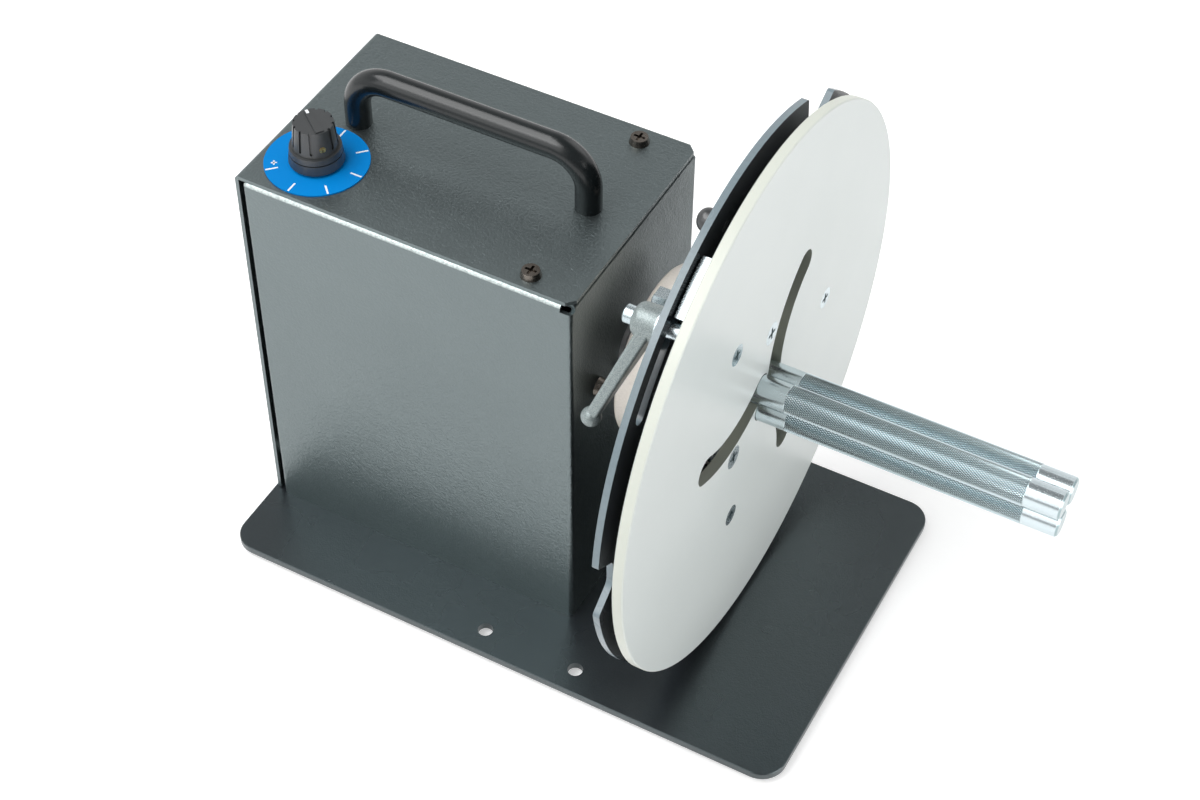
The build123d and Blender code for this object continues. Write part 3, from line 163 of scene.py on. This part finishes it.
# ------------------------------------------------------------------- materials
class Finish:
    """A material and the few node chains that its surface needs. Sizes are in millimetres."""

    def __init__(self, name, colour, roughness, **sockets):
        self.material = bpy.data.materials.new(name)
        self.material.use_nodes = True
        self.tree = self.material.node_tree
        self.shader = self.tree.nodes["Principled BSDF"]
        self.shader.inputs["Base Color"].default_value = (*colour, 1.0)
        self.shader.inputs["Roughness"].default_value = roughness
        for socket, value in sockets.items():
            self.shader.inputs[socket.replace("_", " ")].default_value = value
        coordinates = self.tree.nodes.new("ShaderNodeTexCoord")
        self.place = coordinates.outputs["Object"]
        self.surface = coordinates.outputs["Normal"]
        self.normal = None

    def link(self, source, target):
        self.tree.links.new(source, target)

    def noise(self, size, detail=2.0, distortion=0.0):
        texture = self.tree.nodes.new("ShaderNodeTexNoise")
        texture.inputs["Scale"].default_value = 1 / (size * MM)
        texture.inputs["Detail"].default_value = detail
        texture.inputs["Distortion"].default_value = distortion
        self.link(self.place, texture.inputs["Vector"])
        return texture.outputs["Fac"]

    def span(self, value, low, high, to_low=0.0, to_high=1.0):
        """Value clamped to low..high and mapped to to_low..to_high."""
        node = self.tree.nodes.new("ShaderNodeMapRange")
        node.inputs["From Min"].default_value = low
        node.inputs["From Max"].default_value = high
        node.inputs["To Min"].default_value = to_low
        node.inputs["To Max"].default_value = to_high
        self.link(value, node.inputs["Value"])
        return node.outputs["Result"]

    def math(self, operation, first, second=0.0):
        node = self.tree.nodes.new("ShaderNodeMath")
        node.operation = operation
        for socket, value in zip(node.inputs, (first, second)):
            if isinstance(value, (int, float)):
                socket.default_value = value
            else:
                self.link(value, socket)
        return node.outputs["Value"]

    def mix(self, factor, first, second):
        """A colour that goes from first to second. Each is three numbers or a socket."""
        node = self.tree.nodes.new("ShaderNodeMix")
        node.data_type = "RGBA"
        inputs = [socket for socket in node.inputs if socket.type == "RGBA"]
        for socket, value in zip(inputs, (first, second)):
            if isinstance(value, tuple):
                socket.default_value = (*value, 1.0)
            else:
                self.link(value, socket)
        self.link(factor, node.inputs["Factor"])
        return next(socket for socket in node.outputs if socket.type == "RGBA")

    def colours(self, factor, first, second):
        """Base colour that goes from first to second with factor."""
        self.link(self.mix(factor, first, second), self.shader.inputs["Base Color"])

    def specks(self, spacing, size):
        """Sparse pale dots on the base colour that is linked already."""
        texture = self.tree.nodes.new("ShaderNodeTexVoronoi")
        texture.inputs["Scale"].default_value = 1 / (spacing * MM)
        self.link(self.place, texture.inputs["Vector"])
        dot = self.span(texture.outputs["Distance"], 0.5 * size / spacing, size / spacing, 1.0, 0.0)
        chosen = self.math("LESS_THAN", self.apart(texture.outputs["Color"])["X"], SPECK_SHARE)
        base = self.shader.inputs["Base Color"]
        under = base.links[0].from_socket
        self.link(self.mix(self.math("MULTIPLY", dot, chosen), under, SPECK_COLOUR), base)

    def rough(self, factor, low, high):
        """Roughness that goes from low to high with factor."""
        self.link(self.span(factor, *CLOUD_BAND, low, high), self.shader.inputs["Roughness"])

    def apart(self, vector):
        """The three components of a vector."""
        node = self.tree.nodes.new("ShaderNodeSeparateXYZ")
        self.link(vector, node.inputs["Vector"])
        return node.outputs

    def off_axis(self, height):
        """Distance from the line along X through the given height."""
        spot = self.apart(self.place)
        rise = self.math("SUBTRACT", spot["Z"], height)
        squares = [self.math("MULTIPLY", side, side) for side in (spot["Y"], rise)]
        return self.math("SQRT", self.math("ADD", *squares))

    def bump(self, height, depth):
        """Relief of the given depth, on top of any relief made before."""
        node = self.tree.nodes.new("ShaderNodeBump")
        node.inputs["Distance"].default_value = depth * MM
        self.link(height, node.inputs["Height"])
        if self.normal:
            self.link(self.normal, node.inputs["Normal"])
        self.normal = node.outputs["Normal"]
        self.link(self.normal, self.shader.inputs["Normal"])


def powder_coat(name, colour, grain, depth, roughness, **sockets):
    """Satin powder coat: flowed grains over a slow orange peel, with a few pale specks of dust."""
    coat = Finish(name, colour, roughness, **sockets)
    grains = coat.span(coat.noise(grain, FINE_DETAIL, COAT_FLOW), *COAT_BAND)
    coat.rough(coat.noise(COAT_CLOUD), roughness - COAT_SPREAD, roughness + COAT_SPREAD)
    coat.bump(coat.noise(COAT_PEEL * grain), 2 * depth)
    coat.bump(grains, depth)
    shade = tuple(COAT_SHADE * value for value in colour)
    light = tuple(COAT_LIGHT * value for value in colour)
    coat.colours(grains, shade, light)
    coat.specks(SPECK_SPACING, SPECK_SIZE)
    return coat


def coat_with_painted_bend_highlight(name, *numbers, **sockets):
    """Powder coat with a painted highlight along the bends at the top of the walls, broken into
    patches.
    """
    coat = powder_coat(name, *numbers, **sockets)
    facing = coat.apart(coat.surface)
    wall = coat.math("ABSOLUTE", facing["Y"])
    top = coat.math("ABSOLUTE", facing["Z"])
    bend = coat.span(coat.math("MINIMUM", wall, top), *BEND_BAND)
    patches = coat.noise(BEND_PATCH, FINE_DETAIL)
    bend_highlight_strength = coat.span(patches, *BEND_PATCH_BAND, BEND_LEAST, 1.0)
    base = coat.shader.inputs["Base Color"]
    under = base.links[0].from_socket
    # painted highlight: the bend mask times the patches turns the base colour towards the pale
    # highlight colour
    coat.link(coat.mix(coat.math("MULTIPLY", bend, bend_highlight_strength), under, BEND_HIGHLIGHT_COLOUR), base)
    return coat


def smooth_coat(name, colour, roughness, depth=0.01, **sockets):
    """Smooth powder coat with a faint orange peel."""
    coat = Finish(name, colour, roughness, **sockets)
    coat.rough(coat.noise(SMOOTH_CLOUD), roughness - COAT_SPREAD, roughness + COAT_SPREAD)
    coat.bump(coat.noise(SMOOTH_PEEL, 1.0), depth)
    shade = tuple(SMOOTH_SHADE * value for value in colour)
    coat.colours(coat.noise(SMOOTH_PATCH), shade, colour)
    return coat


def plated(name, colour, roughness, grain=0.4, depth=0.004, tint=None):
    """Plated or turned metal with a fine grain and cloudy colour."""
    metal = Finish(name, colour, roughness, Metallic=1.0)
    low, high = roughness - METAL_SMOOTHER, roughness + METAL_ROUGHER
    metal.rough(metal.noise(grain, FINE_DETAIL), low, high)
    metal.bump(metal.noise(grain), depth)
    clouds = metal.span(metal.noise(METAL_CLOUD, FINE_DETAIL), *METAL_BAND)
    metal.colours(clouds, colour, tint or colour)
    return metal


def moulded(name, colour, roughness, grain=0.5, depth=0.01, **sockets):
    """Moulded plastic or rubber with a fine spark-eroded grain."""
    plastic = Finish(name, colour, roughness, **sockets)
    low, high = roughness - PLASTIC_SPREAD, roughness + PLASTIC_SPREAD
    plastic.rough(plastic.noise(PLASTIC_CLOUD), low, high)
    plastic.bump(plastic.noise(grain), depth)
    light = tuple(PLASTIC_LIGHT * value for value in colour)
    plastic.colours(plastic.noise(grain), colour, light)
    return plastic


def cast(name, colour, hollow, grain, depth, roughness):
    """Blasted casting: pale crests and darker hollows."""
    metal = Finish(name, colour, roughness, Metallic=CAST_METALLIC)
    grains = metal.span(metal.noise(grain, CAST_DETAIL, CAST_FLOW), *CAST_BAND)
    metal.rough(metal.noise(CAST_CLOUD), roughness - CAST_SPREAD, roughness + CAST_SPREAD)
    metal.bump(metal.noise(CAST_WAVE * grain), 2 * depth)
    metal.bump(grains, depth)
    metal.colours(grains, hollow, colour)
    return metal


def knurled_zinc():
    """Plated rod with painted shade in the grooves between the bright crests. The rod's own axis is
    its local X.
    """
    metal = Finish("zinc_knurl", ZINC, ROD_SMOOTH, Metallic=1.0)
    radius = metal.off_axis(0.0)
    metal.rough(metal.noise(ROD_CLOUD, FINE_DETAIL), ROD_SMOOTH, ROD_ROUGH)
    metal.bump(metal.noise(ROD_GRAIN), ROD_GRAIN_DEPTH)
    # painted shade: darker towards the valleys of the knurl, by distance from the rod's axis
    metal.colours(metal.span(radius, VALLEY_R, ROD_R), GROOVE_PAINTED_SHADE, ZINC)
    return metal


def rear_disc_coat():
    """Black satin sheet with a painted sheen round the rim and its notches, in a pale bluish
    colour.
    """
    coat = smooth_coat("black_disc", REAR_FACE, REAR_ROUGHNESS)
    facing = coat.math("ABSOLUTE", coat.apart(coat.surface)["X"])
    outside = coat.span(coat.off_axis(SPINDLE_Z), REAR_RIM_SHEEN_FROM, REAR_RIM_SHEEN_FROM + MM)
    shade = tuple(REAR_RIM_SHEEN_DIM * value for value in REAR_RIM_SHEEN)
    edge = coat.mix(coat.noise(REAR_RIM_SHEEN_PATCH, FINE_DETAIL), shade, REAR_RIM_SHEEN)
    # painted sheen: sides that don't face along X, out past 97 mm from the spindle, take the pale
    # bluish colour
    painted_rim_sheen_mask = coat.math("MULTIPLY", coat.span(facing, *FACE_BAND, 1.0, 0.0), outside)
    coat.link(coat.mix(painted_rim_sheen_mask, REAR_FACE, edge), coat.shader.inputs["Base Color"])
    return coat


def disc_coat():
    """Pale satin coat, warmer where it wraps the rim; the cut walls of the slots are an olive
    bare-metal tone darkened with painted shade.
    """
    coat = smooth_coat("disc_grey", DISC_FACE, DISC_ROUGHNESS, DISC_PEEL_DEPTH)
    facing = coat.math("ABSOLUTE", coat.apart(coat.surface)["X"])
    radius = coat.off_axis(SPINDLE_Z)
    at_rim = coat.span(radius, DISC_RIM_FROM, DISC_RIM_FROM + MM)
    # cut walls inside the rim take the dark olive colour, which carries painted shade
    edge = coat.mix(at_rim, DISC_SLOT_WALL_SHADED, DISC_RIM)
    shade = tuple(DISC_SHADE * value for value in DISC_FACE)
    face = coat.mix(coat.noise(SMOOTH_PATCH), shade, DISC_FACE)
    whole = coat.mix(coat.span(facing, *FACE_BAND), edge, face)
    coat.link(whole, coat.shader.inputs["Base Color"])
    return coat


COOL = (0.82, 0.98, 1.0, 1.0)
SATIN = {"IOR": 1.88, "Specular_IOR_Level": 1.0, "Specular_Tint": COOL}
SHEEN = {"IOR": 1.6, "Specular_IOR_Level": 0.8, "Specular_Tint": COOL}
HOUSING_COAT = ((0.018, 0.022, 0.023), 1.1, 0.06, 0.32)     # colour, grain, depth, roughness

FINISHES = {
    "black_coat_fine": powder_coat("black_coat_fine", *HOUSING_COAT, **SATIN),
    "black_coat_plate": powder_coat(
        "black_coat_plate", (0.012, 0.014, 0.017), 0.7, 0.02, 0.28, **SHEEN
    ),
    "black_gloss_coat": smooth_coat("black_gloss_coat", (0.007, 0.010, 0.011), 0.24),
    "black_screw": plated("black_screw", (0.20, 0.18, 0.16), 0.28, tint=(0.13, 0.115, 0.10)),
    "rubber": moulded("rubber", (0.02, 0.02, 0.02), 0.75),
    "dial_blue": smooth_coat("dial_blue", (0.0, 0.22, 0.62), 0.5, 0.004, Specular_IOR_Level=0.1),
    "knob_black": moulded(
        "knob_black", (0.030, 0.033, 0.035), 0.34, 0.25, 0.004, Specular_IOR_Level=0.8
    ),
    "brass": plated("brass", (0.80, 0.56, 0.22), 0.28, tint=(0.68, 0.46, 0.18)),
    "steel": plated("steel", (0.50, 0.50, 0.50), 0.30, tint=(0.42, 0.43, 0.44)),
    "zinc": plated("zinc", ZINC, 0.24, tint=(0.50, 0.58, 0.61)),
    "disc_grey": disc_coat(),
    "hub_natural": moulded("hub_natural", (0.83, 0.78, 0.71), 0.40, 0.8, 0.006),
    "gearbox_alloy": plated("gearbox_alloy", (0.45, 0.45, 0.45), 0.45, 1.0, 0.02),
    "motor_paint": smooth_coat("motor_paint", (0.02, 0.02, 0.02), 0.35),
    "board_green": moulded("board_green", (0.02, 0.12, 0.05), 0.35),
    "standoff_brass": plated("standoff_brass", (0.72, 0.50, 0.20), 0.3),
    "plastic_black": moulded("plastic_black", (0.012, 0.012, 0.012), 0.35),
    "lever_grey": cast(
        "lever_grey", (0.34, 0.39, 0.39), (0.20, 0.24, 0.24), 0.35, 0.02, 0.36
    ),
}
PRINT = smooth_coat("print_white", (0.86, 0.89, 0.92), 0.5, 0.002)
ROD_FINISH = knurled_zinc()


def dress(piece, finish):
    """Gives every material slot of a piece one finish."""
    if not piece.data.materials:
        piece.data.materials.append(finish.material)
    for index in range(len(piece.data.materials)):
        piece.data.materials[index] = finish.material


OWN_FINISHES = {
    # the chassis gets the housing coat with a painted highlight along its top bends
    "chassis": coat_with_painted_bend_highlight("black_coat_painted_bend_highlight", *HOUSING_COAT, **SATIN),
    "rear_disc": rear_disc_coat(),
}
for subpart in frame["record"]["subparts"]:
    node = subpart["node"]
    dress(nodes[node], OWN_FINISHES.get(node) or FINISHES[subpart["material_slot"]])


# ---------------------------------------------------------------------- pieces
def add_piece(name, mesh, body, finish):
    """An object made from a finished bmesh, riding on a body."""
    data = bpy.data.meshes.new(name)
    mesh.to_mesh(data)
    mesh.free()
    piece = bpy.data.objects.new(name, data)
    bpy.context.scene.collection.objects.link(piece)
    dress(piece, finish)
    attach(piece, body)
    return piece


# printed marks: bars a film thick, placed round an upright axis by radius and angle in degrees
FILM = 0.04 * MM


def bar(mesh, axis, radius, angle, length, width, slant=0.0):
    """A printed bar. It points away from the axis unless it slants."""
    outward = Matrix.Rotation(radians(angle), 4, "Z")
    own_turn = Matrix.Rotation(radians(slant), 4, "Z")
    place = Matrix.Translation(axis) @ outward @ Matrix.Translation((radius, 0, 0)) @ own_turn
    bmesh.ops.create_cube(mesh, size=1.0, matrix=place @ Matrix.Diagonal((length, width, FILM, 1)))


low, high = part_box("dial_disc")
dial_top = Vector(((low.x + high.x) / 2, (low.y + high.y) / 2, high.z))
DIAL_TICKS = (135, 90, 45, 0, -45, -90, -135)
TICK_RADIUS = 16.6 * MM
TICK_L = 4.6 * MM
TICK_W = 0.7 * MM
SIGN_RADIUS = 15.5 * MM
SIGN_SIZE = 2.2 * MM
SIGN_W = 0.6 * MM
MORE_AT = 214
LESS_AT = 146

marks = bmesh.new()
for tick in DIAL_TICKS:
    bar(marks, dial_top, TICK_RADIUS, tick, TICK_L, TICK_W)
bar(marks, dial_top, SIGN_RADIUS, MORE_AT, SIGN_SIZE, SIGN_W)
bar(marks, dial_top, SIGN_RADIUS, MORE_AT, SIGN_SIZE, SIGN_W, 90)
bar(marks, dial_top, SIGN_RADIUS, LESS_AT, SIGN_SIZE, SIGN_W, 90)
add_piece("dial_marks", marks, "base", PRINT)

KNOB_MARK_AT = 145
KNOB_MARK_RADIUS = 5.6 * MM
KNOB_MARK_L = 2.0 * MM
KNOB_MARK_W = 1.1 * MM
cap_top = Vector((dial_top.x, dial_top.y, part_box("control_knob")[1].z))
mark = bmesh.new()
bar(mark, cap_top, KNOB_MARK_RADIUS, KNOB_MARK_AT, KNOB_MARK_L, KNOB_MARK_W)
add_piece("knob_mark", mark, "knob", PRINT)


# core rods: diamond knurl between a plain neck and a plain nose
TENON_R = 3.5 * MM
TENON_L = 4.0 * MM
NECK_END = 20.0 * MM        # from the back of the arm to the start of the knurl
NOSE_L = 13.5 * MM
ROD_CHAMFER = 0.8 * MM
NOSE_RIM = 2.4 * MM         # from the rod's side to the flat of its nose
KNURL_STEP = 0.2 * MM       # between the knurl and the plain ends
GROOVES = 40                # grooves in each direction
KNURL_ANGLE = 30.0          # degrees from the rod's axis

half_steps = 2 * GROOVES
axial_step = pi * CREST_R / GROOVES / tan(radians(KNURL_ANGLE))


def knurled_rod(length):
    """A rod along +X from the origin. Each diamond of the knurl is a small pyramid."""
    mesh = bmesh.new()

    def ring(x, radius_at):
        return [
            mesh.verts.new(
                (
                    x,
                    radius_at(step) * cos(2 * pi * step / half_steps),
                    radius_at(step) * sin(2 * pi * step / half_steps),
                )
            )
            for step in range(half_steps)
        ]

    def plain(radius):
        return lambda step: radius

    knurl_end = length - NOSE_L
    rows = round((knurl_end - NECK_END) / axial_step)
    profile = [
        (0.0, TENON_R),
        (TENON_L, TENON_R),
        (TENON_L, ROD_R),
        (NECK_END - KNURL_STEP, ROD_R),
    ]
    rings = [ring(x, plain(radius)) for x, radius in profile]
    first_knurl = len(rings)
    for row in range(rows + 1):
        x = NECK_END + (knurl_end - NECK_END) * row / rows
        rings.append(ring(x, lambda step: CREST_R if (step + row) % 2 else VALLEY_R))
    last_knurl = len(rings) - 1
    for x, radius in (
        (knurl_end + KNURL_STEP, ROD_R),
        (length - ROD_CHAMFER, ROD_R),
        (length, ROD_R - ROD_CHAMFER),
        (length, ROD_R - NOSE_RIM),
    ):
        rings.append(ring(x, plain(radius)))
    for number, (back, front) in enumerate(zip(rings, rings[1:])):
        knurled = first_knurl <= number < last_knurl
        for step in range(half_steps):
            after = (step + 1) % half_steps
            corners = (back[step], back[after], front[after], front[step])
            if knurled:
                row = number - first_knurl
                if (step + row) % 2:
                    corners = (*corners[1:], corners[0])
                mesh.faces.new((corners[0], corners[1], corners[2]))
                mesh.faces.new((corners[0], corners[2], corners[3]))
            else:
                mesh.faces.new(corners).smooth = True
        for step in range(half_steps):
            mesh.edges.get((back[step], back[(step + 1) % half_steps])).smooth = False
    mesh.faces.new(rings[0])
    mesh.faces.new(rings[-1])
    bmesh.ops.recalc_face_normals(mesh, faces=mesh.faces)
    return mesh


for number in (1, 2, 3):
    low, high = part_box(f"core_rod_{number}")
    mesh = knurled_rod(high.x - low.x)
    rod = add_piece(f"knurled_rod_{number}", mesh, f"arm_{number}", ROD_FINISH)
    rod.location = (low.x, (low.y + high.y) / 2, (low.z + high.z) / 2)
    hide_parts(f"core_rod_{number}")


# ------------------------------------------------------------- floor and light
WORLD_LIGHT = 0.32
ROOM_SIDE = (0.32, -0.60, 0.73)     # the unlit side of the studio
ROOM_GLOSS = 0.22                   # how bright that side is in a reflection
CEILING_GLOSS = 0.35                # how bright the ceiling is in a reflection
FLOOR_COLOUR = (0.80, 0.80, 0.80, 1.0)
FLOOR_GLOW = 0.45
FLOOR_SIZE = 12.0
STUDIO_BLEND = (0.30, 0.80)         # where the white walls have changed to either
LAMP_AIM = (0, 0, 0.1)
LAMPS = {                           # place, width, depth, watts
    "key": ((-0.7, -1.6, 1.4), 1.6, 1.6, 13.0),
    "fill": ((1.7, -0.3, 0.5), 1.2, 1.2, 14.0),
    "back": ((0.6, 1.5, 1.4), 1.4, 1.4, 6.0),
    "top": ((-0.65, -0.45, 1.6), 1.6, 0.9, 22.0),
}


def seen_directly(tree):
    """1 for camera, mirror and glass rays, which see the white background."""
    path = tree.nodes.new("ShaderNodeLightPath")
    rays = [path.outputs[f"Is {kind} Ray"] for kind in ("Camera", "Glossy", "Transmission")]
    seen = rays[0]
    for ray in rays[1:]:
        either = tree.nodes.new("ShaderNodeMath")
        either.operation = "MAXIMUM"
        tree.links.new(seen, either.inputs[0])
        tree.links.new(ray, either.inputs[1])
        seen = either.outputs["Value"]
    return seen


world = bpy.data.worlds.new("studio")
bpy.context.scene.world = world
world.use_nodes = True
sky = world.node_tree
backdrop = sky.nodes["Background"]
backdrop.inputs["Color"].default_value = (1.0, 1.0, 1.0, 1.0)


def studio(*inputs, kind="ShaderNodeMapRange", **settings):
    """A node of the sky. Inputs are values or sockets."""
    node = sky.nodes.new(kind)
    for name, value in settings.items():
        setattr(node, name, value)
    for socket, value in zip(node.inputs, inputs):
        if hasattr(value, "links"):
            sky.links.new(value, socket)
        else:
            socket.default_value = value
    return node


direction = studio(kind="ShaderNodeTexCoord").outputs["Generated"]
towards_room = studio(direction, ROOM_SIDE, kind="ShaderNodeVectorMath", operation="DOT_PRODUCT")
height = studio(direction, kind="ShaderNodeSeparateXYZ").outputs["Z"]
ceiling = studio(height, *STUDIO_BLEND, 1.0, CEILING_GLOSS).outputs["Result"]
room = studio(towards_room.outputs["Value"], *STUDIO_BLEND, ceiling, ROOM_GLOSS)
polish = room.outputs["Result"]
glossy = studio(kind="ShaderNodeLightPath").outputs["Is Glossy Ray"]
shown = studio(glossy, 0.0, 1.0, 1.0, polish).outputs["Result"]
brightness = studio(seen_directly(sky), 0.0, 1.0, WORLD_LIGHT, shown)
sky.links.new(brightness.outputs["Result"], backdrop.inputs["Strength"])

floor_data = bpy.data.meshes.new("floor")
half = FLOOR_SIZE / 2
floor_data.from_pydata(
    [(-half, -half, 0), (half, -half, 0), (half, half, 0), (-half, half, 0)],
    [],
    [(0, 1, 2, 3)],
)
floor = bpy.data.objects.new("floor", floor_data)
bpy.context.scene.collection.objects.link(floor)
floor_material = bpy.data.materials.new("floor")
floor_material.use_nodes = True
paper = floor_material.node_tree
matt = paper.nodes.new("ShaderNodeBsdfDiffuse")
matt.inputs["Color"].default_value = FLOOR_COLOUR
glow = paper.nodes.new("ShaderNodeEmission")
glow.inputs["Color"].default_value = (1.0, 1.0, 1.0, 1.0)
lift = paper.nodes.new("ShaderNodeMath")
lift.operation = "MULTIPLY"
lift.inputs[1].default_value = FLOOR_GLOW
both = paper.nodes.new("ShaderNodeAddShader")
paper.links.new(seen_directly(paper), lift.inputs[0])
paper.links.new(lift.outputs["Value"], glow.inputs["Strength"])
paper.links.new(matt.outputs["BSDF"], both.inputs[0])
paper.links.new(glow.outputs["Emission"], both.inputs[1])
paper.links.new(both.outputs["Shader"], paper.nodes["Material Output"].inputs["Surface"])
floor.data.materials.append(floor_material)


def softbox(name, at, width, depth, power):
    """An area lamp that faces the machine."""
    data = bpy.data.lights.new(name, "AREA")
    data.shape = "RECTANGLE"
    data.size = width
    data.size_y = depth
    data.energy = power
    lamp = bpy.data.objects.new(name, data)
    lamp.location = at
    aim = Vector(LAMP_AIM) - Vector(at)
    lamp.rotation_euler = aim.to_track_quat("-Z", "Y").to_euler()
    bpy.context.scene.collection.objects.link(lamp)


for lamp_name, settings in LAMPS.items():
    softbox(lamp_name, *settings)
